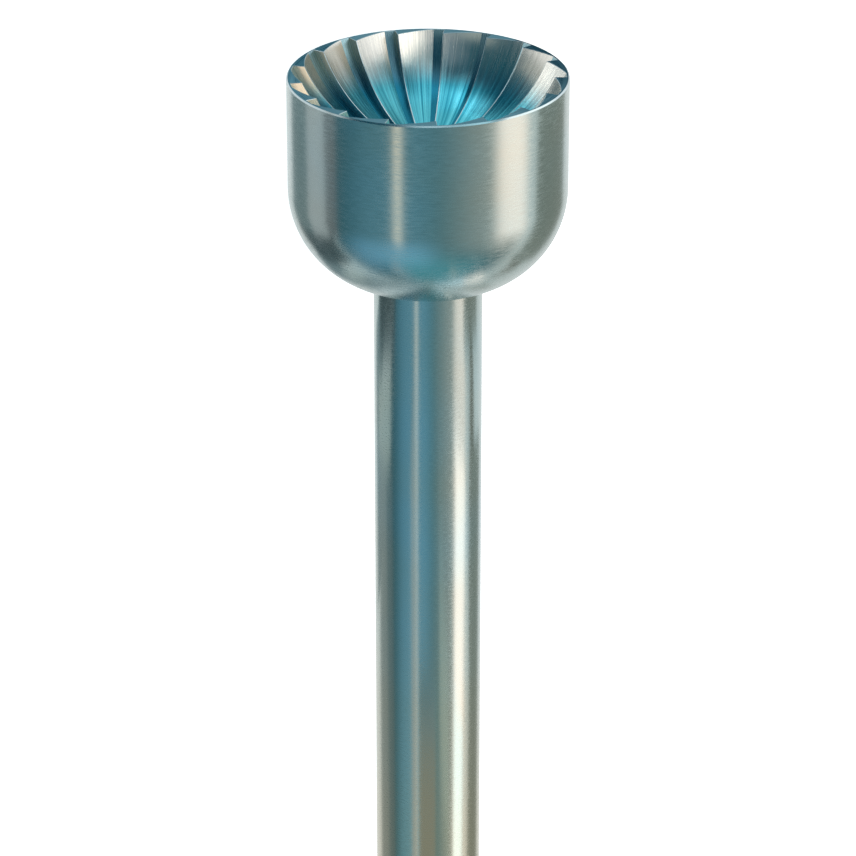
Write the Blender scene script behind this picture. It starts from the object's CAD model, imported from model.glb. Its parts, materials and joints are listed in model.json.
"""Cup burr: the ground surfaces of a one-piece carbide cutter, lying on a pale floor."""

import json
from math import asin, cos, pi, radians, sin, sqrt

import bmesh
import bpy
from mathutils import Matrix, Vector


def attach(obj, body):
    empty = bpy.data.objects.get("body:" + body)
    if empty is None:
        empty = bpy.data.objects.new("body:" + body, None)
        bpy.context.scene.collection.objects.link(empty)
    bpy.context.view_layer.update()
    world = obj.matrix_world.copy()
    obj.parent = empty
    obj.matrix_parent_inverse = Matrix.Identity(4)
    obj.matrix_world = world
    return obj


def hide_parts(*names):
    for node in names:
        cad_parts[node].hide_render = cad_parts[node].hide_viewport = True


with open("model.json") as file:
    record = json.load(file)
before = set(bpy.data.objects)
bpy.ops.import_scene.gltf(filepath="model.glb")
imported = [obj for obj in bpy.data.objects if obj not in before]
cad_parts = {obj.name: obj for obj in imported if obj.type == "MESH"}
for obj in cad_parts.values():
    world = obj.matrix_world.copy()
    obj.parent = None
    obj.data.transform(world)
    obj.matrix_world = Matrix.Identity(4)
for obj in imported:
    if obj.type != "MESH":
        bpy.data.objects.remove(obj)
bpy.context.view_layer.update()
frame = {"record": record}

bl_info = {
    "name": "Cup Burr",
    "version": (1, 0, 0),
    "blender": (4, 5, 0),
    "location": "View3D > Sidebar > Cup Burr",
    "description": "Builds a one-piece carbide cup burr with its ground finishes, and a studio",
    "category": "Add Mesh",
}

MM = 0.001
SHANK_MOUNT = frame["record"]["mounts"][0]
MERGE_DISTANCE = 0.0004 * MM
GRAIN_UV = "grain"

# Edges that turn by more than these are drawn sharp, and broken by grinding
SHARP_TURN = radians(14)
BROKEN_EDGE_TURN = radians(40)

# Order of the burr's material slots
OUTSIDE, FLANK, GULLET, FACE, LAND, RIM = range(6)


# ---------------------------------------------------------------- properties


def length(name, description, millimetres):
    return bpy.props.FloatProperty(
        name=name,
        description=description,
        default=millimetres * MM,
        min=0,
        unit="LENGTH",
        precision=5,
    )


def angle(name, description, degrees):
    return bpy.props.FloatProperty(
        name=name, description=description, default=radians(degrees), subtype="ANGLE", unit="ROTATION"
    )


def color(name, description, hex_code):
    return bpy.props.FloatVectorProperty(
        name=name,
        description=description,
        default=linear(hex_code)[:3],
        subtype="COLOR",
        size=3,
        min=0,
        max=1,
    )


def linear(hex_code):
    """Linear colour, with alpha, of an sRGB hex code such as "4A7C85"."""
    channels = [int(hex_code[i : i + 2], 16) / 255 for i in (0, 2, 4)]
    return tuple(c / 12.92 if c <= 0.04045 else ((c + 0.055) / 1.055) ** 2.4 for c in channels) + (1.0,)


class BurrSizes(bpy.types.PropertyGroup):
    overall_length: length("Overall length", "From the rim to the end of the shank", 44.5)
    shank_diameter: length("Shank diameter", "Diameter that the collet grips", 2.35)
    shank_end_chamfer: length("Shank end chamfer", "Bevel round the end of the shank", 0.3)
    head_diameter: length("Head diameter", "Diameter of the head's straight side", 6.0)
    head_straight_length: length("Straight length", "Length of the head's straight side", 2.48)
    head_back_radius: length("Back radius", "Radius of the head's rounded back", 2.16)
    neck_fillet: length("Neck fillet", "Radius where the back meets the shank", 0.08)
    rim_chamfer: length("Rim chamfer", "Bevel round the outside of the rim", 0.03)
    cup_mouth_diameter: length("Mouth diameter", "Across the cutting edges at the rim", 5.37)
    cup_depth: length("Cup depth", "Depth of the ball that the cutting edges lie on", 1.74)
    tooth_count: bpy.props.IntProperty(
        name="Teeth", description="Teeth round the cup", default=17, min=3
    )
    tooth_depth: length("Tooth depth", "Height of a tooth's face at the rim", 0.25)
    tooth_land: length("Tooth land", "Width of the ground land behind a cutting edge", 0.02)
    gullet_floor_angle: angle("Gullet floor", "Angle that the floor beside a face takes up", 4.5)
    first_tooth_angle: angle("First tooth", "Where the first face stands", 19.6)
    flank_hollow: length("Flank hollow", "Depth that the wheel hollows a flank by", 0.035)
    edge_break: length("Edge break", "Width that grinding leaves on a sharp edge", 0.007)


class BurrColors(bpy.types.PropertyGroup):
    shank_end: color("Shank end", "Straw heat tint towards the end of the shank", "BABAA8")
    outside_warm: color("Outside, warmer", "The same metal where its tint is warmer", "ABBBB6")
    outside: color("Outside", "Ground metal with a faint blue-green heat tint", "A6C0C3")
    rim: color("Rim", "Dark blue heat tint on the ground rim", "6C96A4")
    land: color("Land", "Bright metal along the cutting edges", "C2D4D8")
    flank_rim: color("Flank at the rim", "Wheel-ground metal, still nearly plain", "EAEAE2")
    flank_deep: color("Flank deep in the cup", "Stronger heat tint where the wheel dwells", "1E879C")
    flank_streak: color("Flank streaks", "Lighter streaks in the heat tint", "68CEDE")
    gullet: color("Gullet", "Heat tint on the gullet's floor", "90B2BA")
    gullet_deep: color("Gullet, deep", "The same tint lower down", "1E7088")
    face_deep: color("Tooth face, deep", "Dark heat tint lower down the teeth's faces", "B0CED4")
    face: color("Tooth face", "Plain metal on the teeth's faces", "E8DAC6")
    floor: color("Floor", "Pale paper under the burr", "F4F4F2")


# ------------------------------------------------------------------ the burr


def tool_placement(sizes):
    """Matrix from the tool's own frame (rim at z 0, cup upwards) to where its mount says it lies."""
    forward = -Vector(SHANK_MOUNT["axis"])
    grip_middle = Vector(SHANK_MOUNT["pos_m"])
    grip_length = SHANK_MOUNT["dims"]["length_mm"] * MM
    shank_end = grip_middle - forward * (grip_length / 2 + sizes.shank_end_chamfer)
    rim_centre = shank_end + forward * sizes.overall_length
    right = Vector((0, -1, 0))
    back = forward.cross(right)
    axes = Matrix((right, back, forward)).transposed()
    return Matrix.Translation(rim_centre) @ axes.to_4x4()


def chain(mesh, points):
    """Adds a run of edges through the points, and returns its vertices."""
    verts = [mesh.verts.new(point) for point in points]
    for start, end in zip(verts, verts[1:]):
        mesh.edges.new((start, end))
    return verts


def sweep_arc(mesh, start, centre, turn, steps):
    """Sweeps a vertex round an arc in the XZ plane, and returns the arc's last vertex."""
    swept = bmesh.ops.spin(
        mesh, geom=[start], cent=centre, axis=(0, 1, 0), angle=turn, steps=steps, use_duplicate=False
    )
    return next(part for part in swept["geom_last"] if isinstance(part, bmesh.types.BMVert))


def turn_outside(mesh, sizes, steps):
    """The turned and ground outside, from the rim's outer edge to the end of the shank."""
    head_radius = sizes.head_diameter / 2
    shank_radius = sizes.shank_diameter / 2
    rim_radius = head_radius - sizes.rim_chamfer
    straight_end = -sizes.head_straight_length
    back_centre_x = head_radius - sizes.head_back_radius

    # The neck's fillet touches both the rounded back and the shank.
    fillet_x = shank_radius + sizes.neck_fillet
    fillet_reach = sizes.head_back_radius + sizes.neck_fillet
    fillet_drop = sqrt(fillet_reach**2 - (fillet_x - back_centre_x) ** 2)
    fillet_centre = Vector((fillet_x, 0, straight_end - fillet_drop))
    touch_turn = asin(fillet_drop / fillet_reach)

    top_points = [
        (rim_radius, 0, 0),
        (head_radius, 0, -sizes.rim_chamfer),
        (head_radius, 0, straight_end),
    ]
    top = chain(mesh, top_points)
    back_end = sweep_arc(mesh, top[-1], (back_centre_x, 0, straight_end), touch_turn, steps=40)
    neck_end = sweep_arc(mesh, back_end, fillet_centre, -touch_turn, steps=8)

    shank_end = -sizes.overall_length
    end_points = [
        (shank_radius, 0, shank_end + sizes.shank_end_chamfer),
        (shank_radius - sizes.shank_end_chamfer, 0, shank_end),
        (0, 0, shank_end),
    ]
    end_verts = chain(mesh, end_points)
    mesh.edges.new((neck_end, end_verts[0]))

    bmesh.ops.spin(
        mesh,
        geom=mesh.verts[:] + mesh.edges[:],
        cent=(0, 0, 0),
        axis=(0, 0, 1),
        angle=2 * pi,
        steps=steps,
        use_merge=True,
        use_duplicate=False,
    )
    for face in mesh.faces:
        in_chamfer = face.calc_center_median().z > -sizes.rim_chamfer
        face.material_index = LAND if in_chamfer else OUTSIDE


class ToothSpace:
    """The space from one tooth's face to the next tooth's cutting edge.

    The first face stands on the XZ plane. Each line along the space lies on a ball, and is
    straight when seen down the tool's axis.
    """

    def __init__(self, sizes):
        pitch = 2 * pi / sizes.tooth_count
        mouth = sizes.cup_mouth_diameter / 2
        depth = sizes.tooth_depth
        land = sizes.tooth_land
        self.ball_radius = (mouth**2 + sizes.cup_depth**2) / (2 * sizes.cup_depth)
        self.ball_height = self.ball_radius - sizes.cup_depth
        self.sweep = asin(mouth / self.ball_radius)
        self.flank_hollow = sizes.flank_hollow

        next_face = Vector((cos(pitch), sin(pitch)))
        next_normal = Vector((sin(pitch), -cos(pitch)))
        gullet_centre = Vector((depth, 0))
        cup_centre = Vector((0, 0))

        # At the rim
        corner = Vector((cos(sizes.gullet_floor_angle), sin(sizes.gullet_floor_angle))) * (mouth + depth)
        corner = gullet_centre + (corner - gullet_centre).normalized() * mouth
        land_edge = next_face * sqrt(mouth**2 - land**2) + next_normal * land

        # Where the space runs out, near the middle of the cup
        run_out = depth / 2
        corner_end = Vector((run_out, (next_normal.x * run_out - land) / -next_normal.y))

        self.lines = [
            (Vector((mouth, 0)), Vector((run_out, 0)), cup_centre),
            (Vector((mouth + depth, 0)), Vector((run_out, 0)), gullet_centre),
            (corner, corner_end, gullet_centre),
            (land_edge, corner_end, cup_centre),
            (next_face * mouth, next_face * run_out, cup_centre),
        ]

    def point(self, line, t):
        """A point on one of the five lines, from t = 0 at the rim to t = 1 near the middle."""
        rim_end, inner_end, centre = self.lines[line]
        share = sin((1 - t) * self.sweep) / sin(self.sweep)
        flat = inner_end.lerp(rim_end, share)
        drop = sqrt(self.ball_radius**2 - (flat - centre).length_squared)
        return Vector((flat.x, flat.y, self.ball_height - drop))


def grind_tooth_space(mesh, space, tooth, turn, rows):
    """One tooth space as a grid: the face, the gullet's floor, the flank and the land."""
    strips = [(FACE, 3), (GULLET, 2), (FLANK, 8), (LAND, 1)]
    columns = [(k, i / count) for k, (_, count) in enumerate(strips) for i in range(count)] + [(3, 1.0)]
    slots = [slot for slot, count in strips for _ in range(count)]
    widths = [(space.point(k, 0) - space.point(k + 1, 0)).length / MM for k in range(4)]
    grain = mesh.loops.layers.uv[GRAIN_UV]
    length_mm = space.ball_radius * space.sweep / MM

    made = bmesh.ops.create_grid(mesh, x_segments=len(columns) - 1, y_segments=rows, size=1)
    place = {}
    for vert in made["verts"]:
        column = round((vert.co.x + 1) / 2 * (len(columns) - 1))
        place[vert] = (column, (vert.co.y + 1) / 2)
    for face in {face for vert in made["verts"] for face in vert.link_faces}:
        first = min(place[vert][0] for vert in face.verts)
        face.material_index = slots[first]
        for loop in face.loops:
            column, t = place[loop.vert]
            strip, share = columns[column]
            across = sum(widths[:strip]) + share * widths[strip]
            loop[grain].uv = (across + 10 * tooth, t * length_mm)
    for vert, (column, t) in place.items():
        strip, share = columns[column]
        vert.co = space.point(strip, t).lerp(space.point(strip + 1, t), share)
        if strips[strip][0] == FLANK:
            hollow = space.flank_hollow * (1 - t) * 4 * share * (1 - share)
            vert.co.xy += vert.co.xy.normalized() * hollow
    bmesh.ops.rotate(mesh, verts=made["verts"], cent=(0, 0, 0), matrix=Matrix.Rotation(turn, 3, "Z"))


def build_burr_mesh(sizes):
    mesh = bmesh.new()
    mesh.loops.layers.uv.new(GRAIN_UV)
    space = ToothSpace(sizes)
    turn_outside(mesh, sizes, steps=16 * sizes.tooth_count)
    for tooth in range(sizes.tooth_count):
        turn = sizes.first_tooth_angle + tooth * 2 * pi / sizes.tooth_count
        grind_tooth_space(mesh, space, tooth, turn, rows=44)
    bmesh.ops.remove_doubles(mesh, verts=mesh.verts[:], dist=MERGE_DISTANCE)
    bmesh.ops.dissolve_degenerate(mesh, edges=mesh.edges[:], dist=MERGE_DISTANCE / 2)

    # The flat rim between the outside and the tooth spaces
    open_edges = [edge for edge in mesh.edges if edge.is_boundary]
    rim_edges = [edge for edge in open_edges if all(abs(v.co.z) < MERGE_DISTANCE for v in edge.verts)]
    rim = bmesh.ops.triangle_fill(mesh, edges=rim_edges, use_beauty=True, normal=(0, 0, 1))
    for part in rim["geom"]:
        if isinstance(part, bmesh.types.BMFace):
            part.material_index = RIM

    # The last of the ball, where the teeth run out
    middle = bmesh.ops.holes_fill(mesh, edges=[edge for edge in mesh.edges if edge.is_boundary], sides=0)
    poked = bmesh.ops.poke(mesh, faces=middle["faces"])
    for vert in poked["verts"]:
        vert.co = (0, 0, -sizes.cup_depth)
    for face in poked["faces"]:
        face.material_index = FLANK
    bmesh.ops.recalc_face_normals(mesh, faces=mesh.faces[:])
    return mesh


def break_sharp_edges(mesh, sizes):
    """Leaves a hair of round on the cutting edges and the mouth, which glints on a ground tool."""
    # The teeth are too low to be broken near the middle, and the outer rim has its own chamfer.
    inner_radius = 3 * sizes.tooth_depth
    outer_radius = sizes.head_diameter / 2 - 2 * sizes.rim_chamfer
    sharp = []
    for edge in mesh.edges:
        if len(edge.link_faces) != 2 or edge.calc_face_angle(0) < BROKEN_EDGE_TURN:
            continue
        middle = (edge.verts[0].co + edge.verts[1].co) / 2
        in_cup = middle.z > -sizes.cup_depth and inner_radius < middle.xy.length < outer_radius
        if in_cup and edge.is_convex:
            sharp.append(edge)
    bmesh.ops.bevel(
        mesh,
        geom=sharp,
        offset=sizes.edge_break,
        offset_type="OFFSET",
        affect="EDGES",
        segments=2,
        profile=0.5,
        clamp_overlap=False,
        material=LAND,
    )


def lay_grain(mesh, sizes):
    """Gives every face a map in millimetres whose U runs across the grinding marks and V along them."""
    grain = mesh.loops.layers.uv[GRAIN_UV]
    head_radius = sizes.head_diameter / 2
    for face in mesh.faces:
        centre = face.calc_center_median()
        if face.material_index in (OUTSIDE, RIM):
            middle_turn = Vector((centre.x, centre.y)).angle_signed(Vector((0, -1)), 0)
            for loop in face.loops:
                flat = Vector((loop.vert.co.x, loop.vert.co.y))
                turn = flat.angle_signed(Vector((0, -1)), middle_turn)
                if turn - middle_turn > pi:
                    turn -= 2 * pi
                if middle_turn - turn > pi:
                    turn += 2 * pi
                across = head_radius - flat.length - loop.vert.co.z
                loop[grain].uv = (across / MM, turn * head_radius / MM)


def mark_sharp_edges(mesh, limit):
    for face in mesh.faces:
        face.smooth = True
    for edge in mesh.edges:
        edge.smooth = len(edge.link_faces) == 2 and edge.calc_face_angle(0) < limit


class BURR_OT_add_cutter(bpy.types.Operator):
    """Add the one-piece burr, with its toothed cup and ground shank"""

    bl_idname = "burr.add_cutter"
    bl_label = "Add Cutter"

    def execute(self, context):
        sizes = context.scene.burr_sizes
        mesh = build_burr_mesh(sizes)
        break_sharp_edges(mesh, sizes)
        lay_grain(mesh, sizes)
        mark_sharp_edges(mesh, SHARP_TURN)
        mesh.transform(tool_placement(sizes))

        data = bpy.data.meshes.new("cup_burr_ground")
        mesh.to_mesh(data)
        mesh.free()
        makers = (
            outside_material,
            flank_material,
            gullet_material,
            face_material,
            land_material,
            rim_material,
        )
        for make in makers:
            data.materials.append(make(context.scene.burr_colors))
        burr = bpy.data.objects.new("cup_burr_ground", data)
        context.scene.collection.objects.link(burr)
        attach(burr, "root")
        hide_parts("cup_burr")
        return {"FINISHED"}


# ----------------------------------------------------------------- materials


def add_node(tree, kind, settings=None, inputs=None, links=None):
    """Adds a node, sets its properties and sockets, and links sockets from other nodes' outputs."""
    node = tree.nodes.new(kind)
    for name, value in (settings or {}).items():
        setattr(node, name, value)
    for name, value in (inputs or {}).items():
        node.inputs[name].default_value = value
    for name, output in (links or {}).items():
        tree.links.new(output, node.inputs[name])
    return node


def new_material(name):
    material = bpy.data.materials.new(name)
    material.use_nodes = True
    material.node_tree.nodes.clear()
    return material, material.node_tree


def grinding_marks(tree, across_per_mm, along_per_mm, detail=3.0):
    """Noise drawn out along the grain: grit scratches lie side by side across U."""
    uv = add_node(tree, "ShaderNodeUVMap", {"uv_map": GRAIN_UV})
    stretched = add_node(
        tree,
        "ShaderNodeMapping",
        inputs={"Scale": (across_per_mm, along_per_mm, 1)},
        links={"Vector": uv.outputs["UV"]},
    )
    return add_node(
        tree,
        "ShaderNodeTexNoise",
        {"noise_dimensions": "2D"},
        {"Scale": 1.0, "Detail": detail, "Roughness": 0.6},
        {"Vector": stretched.outputs["Vector"]},
    ).outputs["Fac"]


def spread(tree, value, low, high):
    """Maps a 0 to 1 value onto low to high."""
    return add_node(
        tree,
        "ShaderNodeMapRange",
        inputs={"From Min": 0.3, "From Max": 0.7, "To Min": low, "To Max": high},
        links={"Value": value},
    ).outputs["Result"]


def ground_metal(tree, base_color, roughness, marks, anisotropy, bump_mm):
    """The shader that all the ground surfaces share. base_color and roughness are outputs or numbers."""
    bump = add_node(
        tree,
        "ShaderNodeBump",
        inputs={"Strength": 1.0, "Distance": bump_mm * MM},
        links={"Height": marks},
    )
    tangent = add_node(tree, "ShaderNodeTangent", {"direction_type": "UV_MAP", "uv_map": GRAIN_UV})
    shader = add_node(
        tree,
        "ShaderNodeBsdfPrincipled",
        inputs={"Metallic": 1.0, "Anisotropic": anisotropy},
        links={
            "Base Color": base_color,
            "Roughness": roughness,
            "Normal": bump.outputs["Normal"],
            "Tangent": tangent.outputs["Tangent"],
        },
    )
    add_node(tree, "ShaderNodeOutputMaterial", links={"Surface": shader.outputs["BSDF"]})
    return shader


def tint(tree, factor, low, high):
    """Mixes two colours, each of them a list or another node's output."""
    mix = add_node(tree, "ShaderNodeMix", {"data_type": "RGBA"}, links={"Factor": factor})
    for name, value in (("A", low), ("B", high)):
        if isinstance(value, bpy.types.NodeSocket):
            tree.links.new(value, mix.inputs[name])
        else:
            mix.inputs[name].default_value = tuple(value)[:3] + (1,)
    return mix.outputs["Result"]


def darker(rgb, share):
    return [c * share for c in rgb]


def along_grain(tree, name, start_mm, end_mm):
    """0 before start_mm and 1 beyond end_mm, measured along U or V of the grain map."""
    uv = add_node(tree, "ShaderNodeUVMap", {"uv_map": GRAIN_UV})
    place = add_node(tree, "ShaderNodeSeparateXYZ", links={"Vector": uv.outputs["UV"]}).outputs[name]
    return add_node(
        tree,
        "ShaderNodeMapRange",
        {"interpolation_type": "SMOOTHSTEP"},
        {"From Min": start_mm, "From Max": end_mm},
        {"Value": place},
    ).outputs["Result"]


def cloud(tree, per_mm, low, high):
    """Slow, soft variation over the whole object, spread onto low to high."""
    coords = add_node(tree, "ShaderNodeTexCoord")
    noise = add_node(
        tree,
        "ShaderNodeTexNoise",
        inputs={"Scale": per_mm / MM, "Detail": 2.0, "Roughness": 0.5},
        links={"Vector": coords.outputs["Object"]},
    )
    return spread(tree, noise.outputs["Fac"], low, high)


def outside_material(colors):
    # Cemented carbide, cylindrically ground: rings of fine scratches draw a light out along the tool.
    # They are drawn some ten times coarser than grit leaves them, so that they show.
    material, tree = new_material("ground_carbide_outside")
    marks = grinding_marks(tree, across_per_mm=26, along_per_mm=3.5, detail=2.0)
    shade = spread(tree, marks, 0.0, 1.0)
    cool = tint(tree, shade, darker(colors.outside, 0.9), colors.outside)
    warm = tint(tree, shade, darker(colors.outside_warm, 0.9), colors.outside_warm)
    ground = tint(tree, cloud(tree, 0.45, 0.0, 1.0), cool, warm)
    base = tint(tree, along_grain(tree, "X", 12.0, 21.0), ground, colors.shank_end)
    roughness = spread(tree, marks, 0.2, 0.3)
    ground_metal(tree, base, roughness, marks, anisotropy=0.75, bump_mm=0.0003)
    return material


def flank_material(colors):
    # The relief behind each cutting edge, ground along the tooth, in streaks of lighter and darker tint.
    material, tree = new_material("wheel_ground_flank")
    marks = grinding_marks(tree, across_per_mm=34, along_per_mm=0.45, detail=5.0)
    bands = grinding_marks(tree, across_per_mm=13, along_per_mm=0.22, detail=4.0)
    streaks = spread(tree, bands, 0.0, 1.0)
    plain = tint(tree, streaks, darker(colors.flank_rim, 0.86), colors.flank_rim)
    tinted = tint(tree, streaks, colors.flank_deep, colors.flank_streak)
    base = tint(tree, along_grain(tree, "Y", 0.4, 1.25), plain, tinted)
    roughness = spread(tree, marks, 0.16, 0.28)
    ground_metal(tree, base, roughness, marks, anisotropy=0.7, bump_mm=0.0012)
    return material


def gullet_material(colors):
    # The floor of the gullet, tinted all the way up because the wheel cuts hottest there.
    material, tree = new_material("gullet_floor_carbide")
    marks = grinding_marks(tree, across_per_mm=34, along_per_mm=0.45, detail=5.0)
    base = tint(tree, along_grain(tree, "Y", 0.3, 1.3), colors.gullet, colors.gullet_deep)
    roughness = spread(tree, marks, 0.2, 0.32)
    ground_metal(tree, base, roughness, marks, anisotropy=0.6, bump_mm=0.001)
    return material


def face_material(colors):
    # The tooth's face, cut by the wheel's side: plain near the rim, tinted dark below.
    material, tree = new_material("tooth_face_carbide")
    marks = grinding_marks(tree, across_per_mm=30, along_per_mm=0.5)
    base = tint(tree, along_grain(tree, "Y", 0.25, 1.2), colors.face, colors.face_deep)
    roughness = spread(tree, marks, 0.24, 0.36)
    ground_metal(tree, base, roughness, marks, anisotropy=0.5, bump_mm=0.001)
    return material


def land_material(colors):
    # The lands and the broken edges: the last thing the wheel touches, so smooth and bright.
    material, tree = new_material("honed_carbide_land")
    marks = grinding_marks(tree, across_per_mm=30, along_per_mm=0.8)
    shade = spread(tree, marks, 0.0, 1.0)
    dark = darker(colors.land, 0.85)
    base = tint(tree, shade, dark, colors.land)
    roughness = spread(tree, marks, 0.16, 0.24)
    ground_metal(tree, base, roughness, marks, anisotropy=0.3, bump_mm=0.0003)
    return material


def rim_material(colors):
    # The flat rim, face-ground and blued by heat: dull when seen at a low angle.
    material, tree = new_material("blued_carbide_rim")
    marks = grinding_marks(tree, across_per_mm=30, along_per_mm=0.8)
    shade = spread(tree, marks, 0.0, 1.0)
    dark = darker(colors.rim, 0.75)
    base = tint(tree, shade, dark, colors.rim)
    roughness = spread(tree, marks, 0.25, 0.4)
    shader = ground_metal(tree, base, roughness, marks, anisotropy=0.4, bump_mm=0.0008)
    shader.inputs["Specular Tint"].default_value = (0.4, 0.5, 0.55, 1)
    return material


# --------------------------------------------------------------------- stage

# The camera stands in front of the cup and looks into it from above the rim.
CAMERA_DISTANCE = 87.475 * MM
CAMERA_HEIGHT_ANGLE = 0.352467653
CAMERA_PITCH = 0.437636
CAMERA_VIEW_ANGLE = radians(11.8468)


def add_camera(scene, placement):
    data = bpy.data.cameras.new("camera")
    data.lens_unit = "FOV"
    data.sensor_fit = "HORIZONTAL"
    data.angle = CAMERA_VIEW_ANGLE
    data.clip_start = 1 * MM
    data.clip_end = 10
    camera = bpy.data.objects.new("camera", data)
    scene.collection.objects.link(camera)
    spot = CAMERA_DISTANCE * Vector((0, -cos(CAMERA_HEIGHT_ANGLE), sin(CAMERA_HEIGHT_ANGLE)))
    local = Matrix.Translation(spot) @ Matrix.Rotation(pi / 2 - CAMERA_PITCH, 4, "X")
    camera.matrix_world = placement @ local
    scene.camera = camera


def add_surface(scene, name, mesh, material):
    """Adds one piece of the stage."""
    data = bpy.data.meshes.new(name)
    mesh.to_mesh(data)
    mesh.free()
    data.materials.append(material)
    surface = bpy.data.objects.new(name, data)
    scene.collection.objects.link(surface)
    return surface


def paper_material(color, glow):
    """White paper. The camera and the metal see it at the strength of a plain white background."""
    material, tree = new_material("white_paper")
    paper = add_node(tree, "ShaderNodeBsdfDiffuse", inputs={"Color": tuple(color) + (1,)})
    lift = add_node(tree, "ShaderNodeEmission", inputs={"Color": (1, 1, 1, 1), "Strength": glow})
    lifted = add_node(tree, "ShaderNodeAddShader")
    tree.links.new(paper.outputs["BSDF"], lifted.inputs[0])
    tree.links.new(lift.outputs["Emission"], lifted.inputs[1])
    white = add_node(tree, "ShaderNodeEmission", inputs={"Color": (1, 1, 1, 1), "Strength": 1.0})
    paths = add_node(tree, "ShaderNodeLightPath")
    reflected = add_node(
        tree,
        "ShaderNodeMath",
        {"operation": "MAXIMUM"},
        links={0: paths.outputs["Is Glossy Ray"], 1: paths.outputs["Is Transmission Ray"]},
    )
    for_camera = add_node(tree, "ShaderNodeMixShader", links={0: paths.outputs["Is Camera Ray"]})
    tree.links.new(paper.outputs["BSDF"], for_camera.inputs[1])
    tree.links.new(lifted.outputs["Shader"], for_camera.inputs[2])
    for_metal = add_node(tree, "ShaderNodeMixShader", links={0: reflected.outputs["Value"]})
    tree.links.new(for_camera.outputs["Shader"], for_metal.inputs[1])
    tree.links.new(white.outputs["Emission"], for_metal.inputs[2])
    add_node(tree, "ShaderNodeOutputMaterial", links={"Surface": for_metal.outputs["Shader"]})
    return material


def add_floor(scene, colors):
    mesh = bmesh.new()
    bmesh.ops.create_grid(mesh, x_segments=1, y_segments=1, size=1.5)
    add_surface(scene, "floor", mesh, paper_material(colors.floor, 0.85))


def card_material(name, hex_code, strength):
    material, tree = new_material(name)
    glow = add_node(
        tree, "ShaderNodeEmission", inputs={"Color": linear(hex_code), "Strength": strength}
    )
    add_node(tree, "ShaderNodeOutputMaterial", links={"Surface": glow.outputs["Emission"]})
    return material


# Cards round the burr that only its metal sees. Each stands along the burr or lies flat:
# (name, ends along the burr, ends across it towards its left, bottom and top, colour, strength),
# in mm from the middle of the part's underside.
CARDS = [
    # Beside the head
    ("card_right", (14.0, 21.8), (-5.5, -5.5), (0.0, 4.4), "DCE0D6", 0.48),
    ("card_left_low", (17.0, 21.5), (5.5, 5.5), (0.0, 3.1), "C4D8DC", 0.5),
    ("card_left_high", (17.0, 21.5), (5.5, 5.5), (3.1, 4.9), "F2EEF0", 0.8),
    ("card_left_top", (17.0, 21.5), (5.5, 5.5), (4.9, 5.9), "E4E4E8", 0.36),
    ("card_left_back", (13.6, 17.0), (5.5, 5.5), (0.0, 5.0), "94A8AE", 0.34),
    ("card_left_neck", (11.6, 13.6), (4.4, 4.4), (0.0, 3.6), "E0E4E0", 0.9),
    # Beside the mouth of the cup
    ("card_right_cup", (21.8, 25.7), (-5.5, -5.5), (0.0, 2.4), "F8F8FA", 1.25),
    ("card_right_cup_high", (21.8, 27.0), (-5.5, -5.5), (2.4, 7.0), "FFFCF8", 1.7),
    ("card_right_ahead", (25.7, 29.6), (-5.5, -5.5), (0.0, 2.4), "7CA8B4", 0.6),
    ("card_right_ahead_high", (27.0, 29.6), (-5.5, -5.5), (2.4, 7.0), "8CB4C0", 0.7),
    ("card_right_far", (29.6, 60.0), (-5.5, -5.5), (0.0, 7.0), "E4F4FA", 1.2),
    ("card_left_glint", (21.5, 25.2), (5.5, 5.5), (0.0, 6.4), "FFFFFF", 1.0),
    ("card_left_cup", (25.2, 27.0), (5.5, 5.5), (0.0, 4.8), "DCE2DE", 0.6),
    ("card_left_ahead", (27.0, 90.0), (5.5, 5.5), (0.0, 4.8), "346474", 0.9),
    # Beside and above the shank
    ("card_right_shank", (-60.0, 12.6), (-3.2, -3.2), (0.0, 2.6), "DCE0D6", 0.5),
    ("card_right_lamp", (5.0, 11.4), (-4.4, -4.4), (3.5, 5.5), "FFE6DE", 2.6),
    ("card_right_lamp_end", (-60.0, 5.0), (-4.4, -4.4), (3.5, 5.5), "E4ECF4", 2.6),
    ("card_left_shank", (-60.0, 11.6), (4.4, 4.4), (0.0, 2.5), "D4DCDE", 0.6),
    ("card_left_shank_high", (-60.0, 11.6), (4.4, 4.4), (2.5, 3.8), "9CB4BC", 0.6),
    ("card_left_strip", (-60.0, 10.5), (4.4, 4.4), (8.6, 11.0), "DCE8EE", 0.75),
    ("card_right_sky", (0.0, 5.5), (-4.4, -4.4), (7.0, 12.0), "CCD6D0", 1.0),
    ("card_above_middle", (4.4, 5.8), (-1.3, 1.5), (7.0, 7.0), "90ABB8", 1.0),
    ("card_above_end", (-60.0, 4.4), (-1.3, 1.5), (7.0, 7.0), "AAAAA0", 1.0),
    # Lying on the floor, either side of the mouth and behind the head
    ("card_floor_mouth_left", (21.0, 24.2), (1.9, 3.3), (0.02, 0.02), "94B4BC", 1.1),
    ("card_floor_glint", (23.4, 26.0), (3.3, 5.4), (0.02, 0.02), "FFFFFF", 2.4),
    ("card_floor_mouth_right", (21.0, 24.2), (-3.5, -1.9), (0.02, 0.02), "6C9CAC", 0.6),
    ("card_floor_back_left", (8.0, 15.0), (3.2, 8.0), (0.02, 0.02), "A8B8BC", 0.8),
    ("card_floor_back_right", (2.0, 12.0), (-15.0, -7.0), (0.02, 0.02), "A8A294", 0.6),
]


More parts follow.
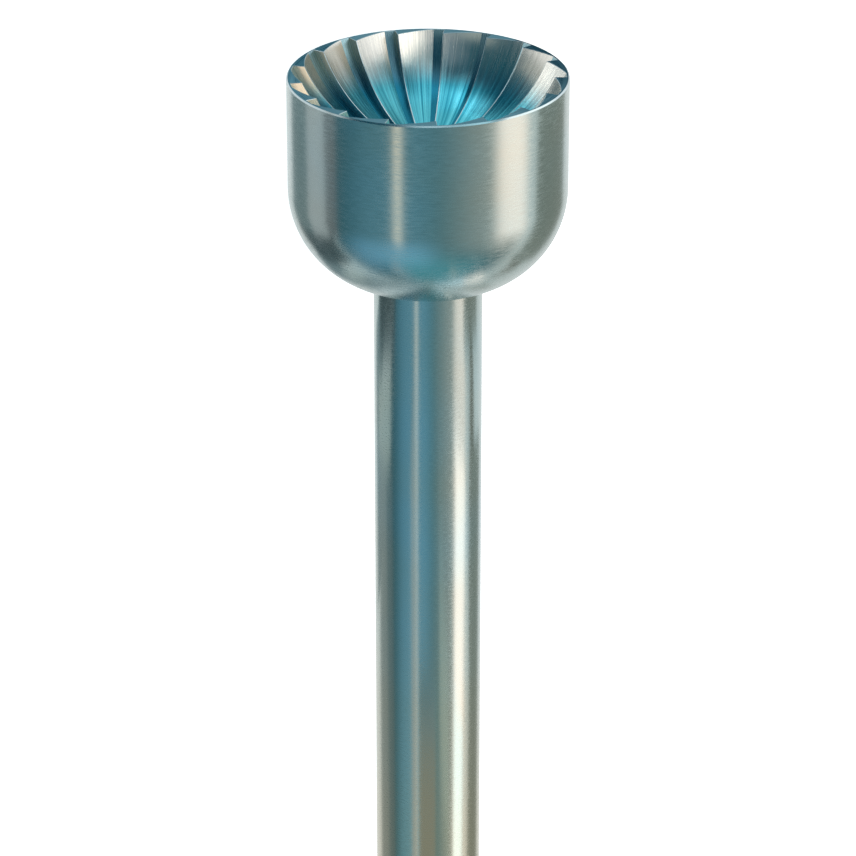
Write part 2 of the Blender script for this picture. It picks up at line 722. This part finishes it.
def add_cards(scene):
    for name, along, across, up, hex_code, strength in CARDS:
        size = Vector([high - low for low, high in (along, across, up)]) * MM
        middle = Vector([(high + low) / 2 for low, high in (along, across, up)]) * MM
        mesh = bmesh.new()
        bmesh.ops.create_grid(mesh, x_segments=1, y_segments=1, size=0.5)
        bmesh.ops.scale(mesh, vec=(size.x, max(size.y, size.z), 1), verts=mesh.verts)
        if size.z > size.y:
            upright = Matrix.Rotation(pi / 2, 3, "X")
            bmesh.ops.rotate(mesh, verts=mesh.verts, cent=(0, 0, 0), matrix=upright)
        bmesh.ops.translate(mesh, vec=middle, verts=mesh.verts)
        card = add_surface(scene, name, mesh, card_material(name, hex_code, strength))
        card.visible_camera = False
        card.visible_diffuse = False
        card.visible_shadow = False


# The studio's light panels, as angles round the burr's length from straight above towards the
# camera's right, and ahead of the cup (90) or behind the shank (-90):
# (turn, half width, softness), (ahead, half width, softness), colour, strength
PANELS = [
    # The warm softbox and the haze round it
    ((74, 8, 15), (-12, 6, 22), "FFD6C8", 2.0),
    ((74, 16, 58), (-10, 20, 26), "FFE2CE", 0.5),
    # A narrow strip lamp
    ((-25, 1, 5), (-14, 5, 21), "FFD4B4", 1.9),
    # The pale ceiling
    ((-15, 25, 45), (-25, 25, 20), "B8D4D4", 0.15),
    # The lit room behind, with a blue card and a teal one
    ((0, 180, 1), (-50, 40, 20), "C3FCFF", 0.105),
    ((-36, 22, 36), (-44, 4, 18), "90C4EE", 0.65),
    ((16, 34, 44), (-72, 8, 24), "68D0D8", 0.42),
    # A second softbox over the mouth of the cup, and a window straight ahead of it
    ((80, 26, 8), (18, 16, 12), "FFF6F0", 1.7),
    ((40, 20, 24), (24, 18, 14), "D4DEEC", 0.2),
    ((-10, 8, 12), (18, 6, 10), "E8E8DC", 0.55),
    ((0, 180, 1), (90, 10, 14), "FFF2F4", 1.7),
    ((40, 45, 45), (78, 9, 14), "D4F2F8", 0.8),
    ((100, 35, 35), (48, 14, 14), "CFF4FA", 0.9),
]
ROOM_COLOR = "1C6478"
ROOM_STRENGTH = 0.62


def window(tree, angle_output, centre, half_width, softness):
    """1 within half_width of centre, falling to 0 over softness, all in degrees."""
    away = add_node(
        tree, "ShaderNodeMath", {"operation": "SUBTRACT"}, {1: radians(centre)}, {0: angle_output}
    )
    distance = add_node(
        tree, "ShaderNodeMath", {"operation": "ABSOLUTE"}, links={0: away.outputs["Value"]}
    )
    return add_node(
        tree,
        "ShaderNodeMapRange",
        {"interpolation_type": "SMOOTHSTEP"},
        {
            "From Min": radians(half_width),
            "From Max": radians(half_width + softness),
            "To Min": 1.0,
            "To Max": 0.0,
        },
        {"Value": distance.outputs["Value"]},
    ).outputs["Result"]


def add_room(scene):
    world = bpy.data.worlds.new("studio")
    world.use_nodes = True
    tree = world.node_tree
    tree.nodes.clear()
    direction = add_node(tree, "ShaderNodeTexCoord").outputs["Generated"]
    parts = add_node(tree, "ShaderNodeSeparateXYZ", links={"Vector": direction})
    right = add_node(
        tree, "ShaderNodeMath", {"operation": "MULTIPLY"}, {1: -1.0}, {0: parts.outputs["Y"]}
    )
    turn = add_node(
        tree,
        "ShaderNodeMath",
        {"operation": "ARCTAN2"},
        links={0: right.outputs["Value"], 1: parts.outputs["Z"]},
    ).outputs["Value"]
    ahead = add_node(
        tree, "ShaderNodeMath", {"operation": "ARCSINE"}, links={0: parts.outputs["X"]}
    ).outputs["Value"]

    light = add_node(tree, "ShaderNodeRGB")
    light.outputs["Color"].default_value = [c * ROOM_STRENGTH for c in linear(ROOM_COLOR)[:3]] + [1]
    total = light.outputs["Color"]
    for turn_window, ahead_window, hex_code, strength in PANELS:
        shape = add_node(
            tree,
            "ShaderNodeMath",
            {"operation": "MULTIPLY"},
            links={0: window(tree, turn, *turn_window), 1: window(tree, ahead, *ahead_window)},
        )
        lit = add_node(
            tree,
            "ShaderNodeVectorMath",
            {"operation": "SCALE"},
            {0: [c * strength for c in linear(hex_code)[:3]]},
            {"Scale": shape.outputs["Value"]},
        )
        added = add_node(
            tree,
            "ShaderNodeVectorMath",
            {"operation": "ADD"},
            links={0: total, 1: lit.outputs["Vector"]},
        )
        total = added.outputs["Vector"]
    studio = add_node(tree, "ShaderNodeBackground", inputs={"Strength": 1.0}, links={"Color": total})
    plain = add_node(tree, "ShaderNodeBackground", inputs={"Color": (1, 1, 1, 1), "Strength": 1.0})
    paths = add_node(tree, "ShaderNodeLightPath")
    mix = add_node(tree, "ShaderNodeMixShader", links={0: paths.outputs["Is Camera Ray"]})
    tree.links.new(studio.outputs["Background"], mix.inputs[1])
    tree.links.new(plain.outputs["Background"], mix.inputs[2])
    add_node(tree, "ShaderNodeOutputWorld", links={"Surface": mix.outputs["Shader"]})
    scene.world = world


class BURR_OT_add_stage(bpy.types.Operator):
    """Add the floor, the lights and the camera"""

    bl_idname = "burr.add_stage"
    bl_label = "Add Stage"

    def execute(self, context):
        scene = context.scene
        placement = tool_placement(scene.burr_sizes)
        add_camera(scene, placement)
        add_floor(scene, scene.burr_colors)
        add_cards(scene)
        add_room(scene)
        scene.view_settings.view_transform = "Standard"
        return {"FINISHED"}


class BURR_PT_panel(bpy.types.Panel):
    """Sizes, colours and steps of the cup burr"""

    bl_idname = "BURR_PT_panel"
    bl_label = "Cup Burr"
    bl_space_type = "VIEW_3D"
    bl_region_type = "UI"
    bl_category = "Cup Burr"

    def draw(self, context):
        layout = self.layout
        for group in (context.scene.burr_sizes, context.scene.burr_colors):
            for name in group.__annotations__:
                layout.prop(group, name)
        layout.operator(BURR_OT_add_cutter.bl_idname)
        layout.operator(BURR_OT_add_stage.bl_idname)


CLASSES = (BurrSizes, BurrColors, BURR_OT_add_cutter, BURR_OT_add_stage, BURR_PT_panel)


def register():
    for cls in CLASSES:
        bpy.utils.register_class(cls)
    bpy.types.Scene.burr_sizes = bpy.props.PointerProperty(type=BurrSizes)
    bpy.types.Scene.burr_colors = bpy.props.PointerProperty(type=BurrColors)


def unregister():
    del bpy.types.Scene.burr_colors
    del bpy.types.Scene.burr_sizes
    for cls in reversed(CLASSES):
        bpy.utils.unregister_class(cls)


def main():
    register()
    bpy.ops.burr.add_cutter()
    bpy.ops.burr.add_stage()


if __name__ == "__main__":
    main()
